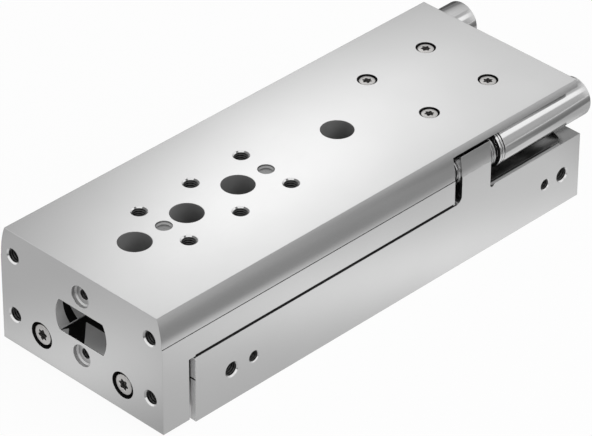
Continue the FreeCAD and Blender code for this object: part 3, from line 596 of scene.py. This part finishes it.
# The front window, round at its sides: how far its wall's lining stands off it, face and back, and how
# far behind the front the linings end
WINDOW_RADIUS = 10.3
WINDOW_HALF_HEIGHT = 5.275
WINDOW_CENTRE = 21.78
WINDOW_LIFTS = (0.05, 0.006)
WINDOW_DEPTH = 9.75

# Bands of painted light and shade on the left wall: finish, and how far behind the front it starts and
# ends, each at top and bottom
WALL_BANDS = {
    "front": ("window_painted_light", (0.15, 0.15), (1.95, 3.95)),
    "middle": ("gap_painted_shade", (1.95, 3.95), (3.45, 6.95)),
    "back": ("window_painted_light", (3.45, 6.95), (WINDOW_DEPTH, WINDOW_DEPTH)),
}


def strip(name, low, high, body, finish):
    """A slim box that lines a gap or an edge, from corner to corner."""
    outline = ((low[0], low[2]), (high[0], low[2]), (high[0], high[2]), (low[0], high[2]))
    rings = [[(x, y, z) for x, z in outline] for y in (low[1], high[1])]
    new_piece(name, rings, finish, body)


def slab(name, corners, low, high, finish):
    """A thin lining on a level floor of the table, from its corners seen from above."""
    new_piece(name, [[(x, y, z) for x, y in corners] for z in (low, high)], finish, "table")


def line_window():
    """The left wall and the floor of the front window in painted light and shade: grey bands and patches
    of painted light, dark ones that paint the reflection of the gaps they face, and a painted glint at
    the left corner.
    """
    front = table_low.y
    floor = WINDOW_CENTRE - WINDOW_HALF_HEIGHT
    half = math.asin(WINDOW_HALF_HEIGHT / WINDOW_RADIUS) - ARC_MARGIN
    for name, (finish, *ends) in WALL_BANDS.items():
        rings = []
        for top, bottom in ends:
            slope = (top - bottom) / (2 * WINDOW_HALF_HEIGHT)
            rings.append(arc_ring(0, WINDOW_CENTRE, WINDOW_RADIUS, math.pi, half, WINDOW_LIFTS, 20,
                                  lambda z: front + bottom + slope * (z - floor)))
        new_piece("window_wall_" + name, rings, finish, "table")
    start = front + 0.2
    end = front + WINDOW_DEPTH
    side = 8.6
    gap = [(-side, start), (side, start), (side, end), (-side, end)]
    right = [(1.0, start), (side, start), (side, front + 7.6), (-6.2, front + 7.6)]
    left = [(-8.3, start), (-5.4, start), (-7.4, front + 2.15)]
    # Over the floor's painted shade lie grey patches of painted light, and a pale strip as a painted
    # glint by the left wall
    over_painted_shade = floor + 0.021
    slab("window_floor_painted_shade", gap, floor + 0.003, floor + 0.02, "gap_painted_shade")
    slab("window_floor_right", right, over_painted_shade, floor + 0.05, "window_painted_light")
    slab("window_floor_left", left, over_painted_shade, floor + 0.05, "window_painted_light")
    strip("window_painted_glint", (-8.85, front + 0.25, over_painted_shade), (-side, front + 6.95, floor + 0.24), "table",
          "slot_painted_light")


def line_gaps():
    """Painted shade under the table's wing, skirt and skirt's edge, and pale lines of painted light on
    the housing.
    """
    side, front = housing_high.x, housing_low.y
    strip("wing_shade", (18, 26, WING_BOTTOM - 0.04), (side - 1.05, 42, WING_BOTTOM - 0.005), "table",
          "gap_painted_shade")
    strip("skirt_shade", (side - 1, front + 0.1, SHOULDER + 0.04),
          (side - 0.04, 24.6, SKIRT_BOTTOM + 0.01), "table", "gap_painted_shade")
    strip("skirt_edge", (side - 0.02, front + 0.1, SKIRT_BOTTOM + 0.002),
          (side + 0.003, 24.2, SKIRT_BOTTOM + 0.45), "table", "gap_painted_shade")
    # A pale line of painted highlight along the trough's rim
    strip("trough_rim", (side - 1, STOP_REAR + 0.45, SHOULDER + 0.002),
          (side - 0.05, STOP_REAR + 30.65, SHOULDER + 0.025), "housing", "rim_painted_highlight")
    # Pale strips of painted light in the slot beside the front plate, with a dark line left between them
    for name, low, high in (("low", 0.4, 13.9), ("high", 14.5, SHOULDER - 0.25)):
        strip("corner_painted_light_" + name, (side - 1.9, front - 0.03, low),
              (side - 0.08, front + 0.005, high), "housing", "slot_painted_light")


def line_edges():
    """A thin line of painted shade along the table's sides where they start to curve in."""
    for name, way, end in (("right", 1, 24.6), ("left", -1, -59.1)):
        near = way * (table_high.x - 0.16)
        far = way * (table_high.x - 0.07)
        strip("edge_line_" + name, (near, table_low.y + 0.15, EDGE_LEVEL + 0.002),
              (far, end, EDGE_LEVEL + 0.09), "table", "gap_painted_shade")


# Linings of the centring recesses, rougher and darker than the body's metal as painted shade: radius,
# radius of the hole in the floor, depth and finish
RECESSES = {
    "table_pins": (2.5, 0.0, 1.0, "pin_metal"),
    "front_pins": (3.5, 1.7, 1.6, "recess_metal"),
}


def cup(name, radius, hole, depth, finish, place):
    """The turned lining of a recess in the table, its floor cut in fine grooves."""
    wall, rounding, groove, steps = 0.03, 0.5, 0.006, 8
    outer = radius - LIFT
    corner = radius - rounding
    middle = max(hole, POINT)
    floor = -depth + wall
    under = -depth + 0.003
    profile = [(outer, -0.12), (radius - wall, -0.16), (radius - wall, -depth + 0.45), (corner, floor)]
    for k in range(1, steps):
        profile.append((corner - (corner - middle) * k / steps, floor + groove * (k % 2)))
    profile += [(middle + 0.02, floor), (middle + 0.02, under), (outer, under)]
    new_piece(name, lathe(profile, count=64), finish, "table", place, tube=True)


def line_recesses():
    """Turned linings in the centring recesses of the table's top and of the front plate."""
    for name, sizes in RECESSES.items():
        spots, axis = pattern(name)
        for k, spot in enumerate(spots):
            cup(f"{name}_cup_{k + 1}", *sizes, facing(spot, axis))


# The dampers: the thread's crest and root and the bore, as radii, then how far from the threaded end
# the ribbed neck starts, its pitch and how steeply its turns rise, and the points in a ring
DAMPER_CREST = 5.48
DAMPER_ROOT = 4.85
DAMPER_BORE = 4.0
NECK_START = 11.6
NECK_PITCH = 1.0
NECK_SLOPE = 2.6
DAMPER_POINTS = 72


def damper_span(side, piece):
    """Where a piece of a damper starts and ends from the sleeve's threaded end, and its radius."""
    start = box_mm(side + "_damper_sleeve")[0].y
    low, high = box_mm(f"{side}_damper_{piece}")
    return low.y - start, high.y - start, (high.x - low.x) / 2


def make_neck(side, body, place, collar):
    """The ribbed neck in front of the lock ring, darker as painted shade with painted highlights on its
    ribs' edges, and painted shade in the undercut between them.
    """
    steps = 10
    end = collar - 1.25
    under, behind = DAMPER_BORE + 0.35, collar + 0.02

    def rib_at(height):
        def radius(angle):
            phase = (height / NECK_PITCH - angle / TURN) % 1.0
            rise = min(1.0, abs(phase - 0.5) * NECK_SLOPE)
            return DAMPER_ROOT + (DAMPER_CREST - DAMPER_ROOT) * rise
        return radius

    count = int((end - NECK_START) / NECK_PITCH * steps) + 1
    heights = [NECK_START + k * NECK_PITCH / steps for k in range(count)]
    turns = [(rib_at(height), height) for height in heights]
    turns += [(DAMPER_BORE + 0.3, end + 0.1), (DAMPER_BORE + 0.1, NECK_START)]
    # The undercut is black as painted shade; the ribs are darker as painted shade, with painted
    # highlights
    undercut = [(DAMPER_ROOT - 0.25, end), (DAMPER_ROOT - 0.25, behind), (under, behind), (under, end)]
    for name, profile, finish in (("undercut", undercut, "gap_painted_shade"), ("neck", turns, "neck_painted_shade_and_highlight")):
        new_piece(f"{side}_{name}", lathe(profile, DAMPER_POINTS), finish, body, place,
                  tube=True)


def make_sleeve(side, body, place, collar, collar_end):
    """The threaded end, and behind the lock ring the smooth barrel with its rounded ends."""
    length, barrel = damper_span(side, "sleeve")[1:]
    plug_start, _, plug_radius = damper_span(side, "plug")
    shoulder = collar_end + 0.3
    seat = plug_radius + 0.02
    bore, root, crest = DAMPER_BORE, DAMPER_ROOT, DAMPER_CREST
    profile = [(bore + 0.3, 0), (root - 0.1, 0), (crest, 0.4), (crest, NECK_START),
               (bore + 0.15, NECK_START), (bore + 0.15, collar + 0.05), (root, collar + 0.05),
               (root, shoulder - 0.05), (barrel - 0.35, shoulder), (barrel - 0.1, shoulder + 0.1),
               (barrel, shoulder + 0.35), (barrel, length - 0.5), (barrel - 0.15, length - 0.15),
               (barrel - 0.5, length), (seat + 0.33, length), (seat, length - 0.3), (seat, plug_start),
               (bore, plug_start), (bore, 0.3)]
    sleeve = new_piece(side + "_sleeve", lathe(profile, DAMPER_POINTS), "damper_nickel", body, place,
                       tube=True)
    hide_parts(side + "_damper_sleeve")


def make_lock_ring(side, body, place):
    """The lock ring, with a groove round its middle."""
    start, end, radius = damper_span(side, "collar")
    inner = DAMPER_ROOT + 0.1
    edge, groove_depth, groove_edge = 0.2, 0.6, 0.15
    middle = (start + end) / 2
    before, after = middle - 0.16, middle + 0.16
    profile = [(inner, start), (radius - edge, start), (radius, start + edge), (radius, before - 0.1),
               (radius - groove_edge, before), (radius - groove_depth, before),
               (radius - groove_depth, after), (radius - groove_edge, after), (radius, after + 0.1),
               (radius, end - edge), (radius - edge, end), (inner, end)]
    ring = new_piece(side + "_lock_ring", lathe(profile, DAMPER_POINTS), "damper_nickel", body, place,
                     tube=True)
    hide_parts(side + "_damper_collar")


def make_socket_plug(side, body, place):
    """The plug in the barrel's end, with a hexagon socket."""
    start, end, radius = damper_span(side, "plug")
    socket = hexagon(4)
    edge, lip, depth, cone = 0.35, 0.15, 2.0, 0.5
    profile = [(radius, start), (radius, end - edge), (radius - edge, end),
               (resized(socket, more=lip), end), (socket, end - lip), (socket, end - depth),
               (0.1, end - depth - cone)]
    plug = new_piece(side + "_socket_plug", lathe(profile, DAMPER_POINTS), "damper_plug_steel", body,
                     place)
    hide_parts(side + "_damper_plug")


def make_damper(side, body):
    """Lathed pieces in place of one damper's plain sleeve, collar and plug."""
    low, high = box_mm(side + "_damper_sleeve")
    threaded_end = Vector(((low.x + high.x) / 2, low.y, (low.z + high.z) / 2))
    place = Matrix.Translation(threaded_end * MM) @ Matrix.Rotation(-math.pi / 2, 4, "X")
    collar, collar_end, _ = damper_span(side, "collar")
    make_neck(side, body, place, collar)
    make_sleeve(side, body, place, collar, collar_end)
    make_lock_ring(side, body, place)
    make_socket_plug(side, body, place)


def make_port_plugs():
    """Plugs with a hexagon socket in the ports that face away."""
    for k, (low, high) in enumerate(solids_of("port_plugs")):
        middle = (low + high) / 2
        radius = (high.y - low.y) / 2
        deep = high.x - low.x
        socket = hexagon(min(2.5, radius * 1.2))
        edge, lip, floor, cone = 0.25, 0.1, deep * 0.4, 0.3
        outward = X * math.copysign(1, middle.x)
        profile = [(radius, 0), (radius, deep - edge), (radius - edge, deep),
                   (resized(socket, more=lip), deep), (socket, deep - lip), (socket, floor),
                   (0.1, floor - cone)]
        place = facing(middle - outward * deep / 2, outward, 0.3)
        new_piece(f"port_plug_{k + 1}", lathe(profile, count=72), "screw_steel", "housing",
                              place)
    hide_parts("port_plugs")


# Spring rings: share of a full turn, width at the ends, how much wider the middle is, and the greatest
# width as a share of the radius; then the lugs' extra width, their share of the ring, and how steeply
# they widen
RING_SHARE = 0.88
RING_WIDTH = 0.9
RING_MIDDLE = 0.5
RING_WIDEST = 0.45
LUG_WIDTH = 1.1
LUG_SHARE = 0.035
LUG_STEEPNESS = 1.6


def make_spring_rings():
    """Open rings with a lug at each end, in the cylinders' rear mouths."""
    steps = 72
    for k, (low, high) in enumerate(solids_of("retaining_rings")):
        middle = (low + high) / 2
        outer = (high.x - low.x) / 2
        half = (high.y - low.y) / 2
        rings = []
        for i in range(steps + 1):
            share = i / steps
            angle = math.pi / 2 + TURN * ((1 - RING_SHARE) / 2 + RING_SHARE * share)
            lug = max(0.0, 1 - min(share, 1 - share) / LUG_SHARE)
            width = RING_WIDTH + RING_MIDDLE * math.sin(math.pi * share)
            width = min(width + LUG_WIDTH * min(1.0, lug * LUG_STEEPNESS), outer * RING_WIDEST)
            section = [(outer, -half), (outer, half), (outer - width, half), (outer - width, -half)]
            rings.append([(r * math.cos(angle), y, r * math.sin(angle)) for r, y in section])
        new_piece(f"circlip_{k + 1}", rings, "ring_steel", "housing",
                              Matrix.Translation(middle * MM))
    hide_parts("retaining_rings")


# The floor: half its side, its two tones, their patches in cells per metre, and how much of it the
# camera sees as plain white; and the level of the world's light
FLOOR_HALF = 3000
FLOOR_TONES = (grey(0.9), grey(0.93))
FLOOR_PATCHES = 4
FLOOR_WHITE_SHARE = 0.94
WORLD_LEVEL = 0.55

# Soft light on a card: the level at the first hill, its slope along x and y per metre, and the hills,
# each with its rise, place, length, width and turn; the card is never darker than the least level
Glow = namedtuple("Glow", "level slope hills")
TOP_GLOW = Glow(0.67, (-2.1, 3.5), [(1.14, 18, 2, 53, 20, 0.534), (0.27, -70, -26.5, 20, 5, 0.52),
                                    (-0.14, 14, 20, 36, 7, 0.52)])
SIDE_GLOW = Glow(0.755, (2.27, 0.79), [(0.335, 37.7, 27.2, 11.9, 74.3, 0.365)])
FRONT_GLOW = Glow(0.493, (-1.51, -1.91), [(0.401, -11.9, -95.5, 31.1, 20.4, -0.795)])
LEAST_LEVEL = 0.3

# The floor card: its height, where its front glow gives way to its side glow, in metres along y, how it
# darkens behind the object, and how it darkens away from the sides, as (share of the reach, level)
FLOOR_CARD_HEIGHT = 0.1
FRONT_TO_SIDE = (-0.094, -0.090)
REAR_SPAN = (0.086, 0.112)
REAR_LEVEL = 0.66
FLOOR_FADE = [(0.0, 1.0), (0.108, 1.0), (0.121, 0.4), (0.5, 0.4), (1.0, 0.6)]
FADE_LEAN = 0.05
FADE_REACH = 340
FADE_AHEAD = 0.6

# The strips of the light tent round the object's long axis: (angle above the right horizon, level);
# in front of the object it has one level, and the two meet over a span of y in metres
TENT = [(0, 0.48), (16, 0.6), (36, 0.6), (40, 1.4), (63, 1.4), (68, 0.62), (90, 0.6),
        (115, 0.5), (132, 0.52), (148, 0.4), (164, 0.24), (180, 0.28)]
TENT_RADIUS = 1100
TENT_HALF_LENGTH = 2000
TENT_FRONT = 1.3
TENT_SPAN = (-0.2, 0.1)

# The top card: what it faces, the way to it from there, and its distance and half sizes
TOP_CARD_FACES = Vector((12, -5, 40))
TOP_CARD_WAY = Vector((-0.579, 0.587, 0.565))
TOP_CARD_DISTANCE = 200
TOP_CARD_HALVES = (140, 95)

# The key lamp: place, what it points at, side and power in watts
KEY_PLACE = Vector((700, 250, 800))
KEY_TARGET = Vector((0, 0, 20))
KEY_SIDE = 600
KEY_POWER = 4.0


def hill(g, place, x, y, length, width, turn):
    """A soft hill from 0 to 1 over the card's own x and y."""
    spread = g.add("ShaderNodeMapping", {"vector_type": "TEXTURE"}, Vector=place,
                   Location=(x * MM, y * MM, 0), Rotation=(0, 0, turn),
                   Scale=(length * MM, width * MM, 1))
    distance = g.maths("LENGTH", spread.outputs[0], kind="ShaderNodeVectorMath")
    squared = g.maths("POWER", distance, 2.0)
    return g.maths("EXPONENT", g.maths("MULTIPLY", squared, -0.5))


def glow(g, light):
    """The level of a card's soft light over its own x and y."""
    place = g.add("ShaderNodeTexCoord").outputs["Object"]
    parts = g.add("ShaderNodeSeparateXYZ", Vector=place)
    slope_x, slope_y = light.slope
    x, y = light.hills[0][1:3]
    base = light.level - x * MM * slope_x - y * MM * slope_y
    level = g.maths("MULTIPLY_ADD", parts.outputs["X"], slope_x, base)
    level = g.maths("MULTIPLY_ADD", parts.outputs["Y"], slope_y, level)
    for rise, *shape in light.hills:
        level = g.maths("MULTIPLY_ADD", hill(g, place, *shape), rise, level)
    return g.maths("MAXIMUM", level, LEAST_LEVEL)


def levels(g, value, stops):
    """Looks a value from 0 to 1 up in a row of levels, which are halved in the ramp's colours."""
    ramp = g.add("ShaderNodeValToRGB", Fac=value)
    points = ramp.color_ramp.elements
    while len(points) < len(stops):
        points.new(0.5)
    for point, (position, level) in zip(points, stops):
        point.position = position
        point.color = grey(level / 2)
    halved = g.add("ShaderNodeRGBToBW", Color=ramp.outputs[0]).outputs[0]
    return g.maths("MULTIPLY", halved, 2.0)


def white_where_seen(g, shader, share):
    """Shows plain white to the camera, and in metal and glass."""
    rays = g.add("ShaderNodeLightPath").outputs
    seen = g.maths("MAXIMUM", rays["Is Camera Ray"], rays["Is Glossy Ray"])
    seen = g.maths("MAXIMUM", seen, rays["Is Transmission Ray"])
    mix = g.add("ShaderNodeMixShader")
    g.set(mix, 0, g.maths("MULTIPLY", seen, share))
    g.set(mix, 1, shader)
    g.set(mix, 2, g.add("ShaderNodeEmission", Strength=1.0).outputs[0])
    return mix.outputs[0]


def stage_mesh(name, points, faces, matrix):
    """A mesh that is part of the stage and not of the object."""
    mesh = bpy.data.meshes.new(name)
    mesh.from_pydata([[c * MM for c in point] for point in points], [], faces)
    made = bpy.data.objects.new(name, mesh)
    made.matrix_world = matrix
    bpy.context.scene.collection.objects.link(made)
    return made


def rectangle(name, half_x, half_y, matrix):
    corners = [(-half_x, -half_y, 0), (half_x, -half_y, 0), (half_x, half_y, 0), (-half_x, half_y, 0)]
    return stage_mesh(name, corners, [(0, 1, 2, 3)], matrix)


def light_card(card, g, light):
    """Makes a card that only polished surfaces see, as the flags and softboxes of a studio."""
    card.data.materials.append(g.finish(g.add("ShaderNodeEmission", Strength=light).outputs[0]))
    for ray in ("camera", "diffuse", "transmission", "shadow", "volume_scatter"):
        setattr(card, "visible_" + ray, False)


def make_floor():
    """A pale floor that keeps the object's shadow."""
    floor = rectangle("floor", FLOOR_HALF, FLOOR_HALF, Matrix.Identity(4))
    g = Graph(bpy.data.materials.new("floor"))
    tone = g.blend(g.ranged(g.noise(FLOOR_PATCHES), 0, 1), *FLOOR_TONES)
    paper = g.add("ShaderNodeBsdfDiffuse", Color=tone, Roughness=0.5)
    floor.data.materials.append(g.finish(white_where_seen(g, paper.outputs[0], FLOOR_WHITE_SHARE)))


def make_world():
    """Dim light from all round, seen as white."""
    g = Graph(bpy.data.worlds.new("studio"), "World")
    dim = g.add("ShaderNodeBackground", Color=grey(1.0), Strength=WORLD_LEVEL)
    bpy.context.scene.world = g.finish(white_where_seen(g, dim.outputs[0], 1.0))


def make_floor_card():
    """A glowing card round the object, close above the floor, whose painted light and shade show only in
    polished surfaces.
    """
    place = Matrix.Translation((0, 0, FLOOR_CARD_HEIGHT * MM))
    card = rectangle("floor_card", TENT_RADIUS, TENT_HALF_LENGTH, place)
    g = Graph(bpy.data.materials.new("floor_card"))
    parts = g.add("ShaderNodeSeparateXYZ", Vector=g.add("ShaderNodeTexCoord").outputs["Object"]).outputs
    across, along = g.maths("ABSOLUTE", parts["X"]), g.maths("ABSOLUTE", parts["Y"])
    near = g.between(g.ranged(parts["Y"], 0, 1, FRONT_TO_SIDE), glow(g, FRONT_GLOW), glow(g, SIDE_GLOW))
    leaning = g.maths("MULTIPLY_ADD", parts["Y"], FADE_LEAN, across)
    beside = g.maths("SUBTRACT", leaning, housing_high.x * MM)
    before = g.maths("SUBTRACT", along, -table_low.y * MM)
    away = g.maths("MAXIMUM", beside, g.maths("MULTIPLY", before, FADE_AHEAD))
    fade = levels(g, g.maths("DIVIDE", away, FADE_REACH * MM), FLOOR_FADE)
    behind = g.ranged(parts["Y"], 1.0, REAR_LEVEL, REAR_SPAN)
    light_card(card, g, g.maths("MULTIPLY", g.maths("MULTIPLY", near, fade), behind))


def make_tent():
    """A half-round tent along the object, with white strips."""
    steps = 48
    angles = [math.pi * k / steps for k in range(steps + 1)]
    points = [(TENT_RADIUS * math.cos(a), y, TENT_RADIUS * math.sin(a))
              for y in (-TENT_HALF_LENGTH, TENT_HALF_LENGTH) for a in angles]
    faces = [(k, k + 1, k + steps + 2, k + steps + 1) for k in range(steps)]
    tent = stage_mesh("tent", points, faces, Matrix.Identity(4))
    g = Graph(bpy.data.materials.new("tent"))
    parts = g.add("ShaderNodeSeparateXYZ", Vector=g.add("ShaderNodeTexCoord").outputs["Object"]).outputs
    turned = g.maths("DIVIDE", g.maths("ARCTAN2", parts["Z"], parts["X"]), math.pi)
    strips = levels(g, turned, [(angle / 180, level) for angle, level in TENT])
    light_card(tent, g, g.between(g.ranged(parts["Y"], 0, 1, TENT_SPAN), TENT_FRONT, strips))


def make_top_card():
    """A card with a soft bright middle, where the table top mirrors it."""
    toward = TOP_CARD_WAY.normalized()
    level = Z.cross(toward).normalized()
    turn = Matrix((level, toward.cross(level), toward)).transposed().to_4x4()
    place = TOP_CARD_FACES + toward * TOP_CARD_DISTANCE
    card = rectangle("top_card", *TOP_CARD_HALVES, Matrix.Translation(place * MM) @ turn)
    g = Graph(bpy.data.materials.new("top_card"))
    light_card(card, g, glow(g, TOP_GLOW))


def make_key_lamp():
    """The one lamp, which lights the object without showing in its metal."""
    data = bpy.data.lights.new("key", "AREA")
    data.shape = "RECTANGLE"
    data.size = data.size_y = KEY_SIDE * MM
    data.energy = KEY_POWER
    lamp = bpy.data.objects.new("key", data)
    lamp.matrix_world = facing(KEY_PLACE, KEY_PLACE - KEY_TARGET)
    bpy.context.scene.collection.objects.link(lamp)
    lamp.visible_glossy = False


make_camera()
dress_nodes()
make_threads()
make_screws()
line_holes()
line_trough()
line_window()
line_gaps()
line_recesses()
line_edges()
make_damper("retract", "housing")
make_damper("advance", "table")
make_port_plugs()
make_spring_rings()
make_floor()
make_world()
make_floor_card()
make_tent()
make_top_card()
make_key_lamp()
bpy.context.scene.view_settings.view_transform = "Standard"
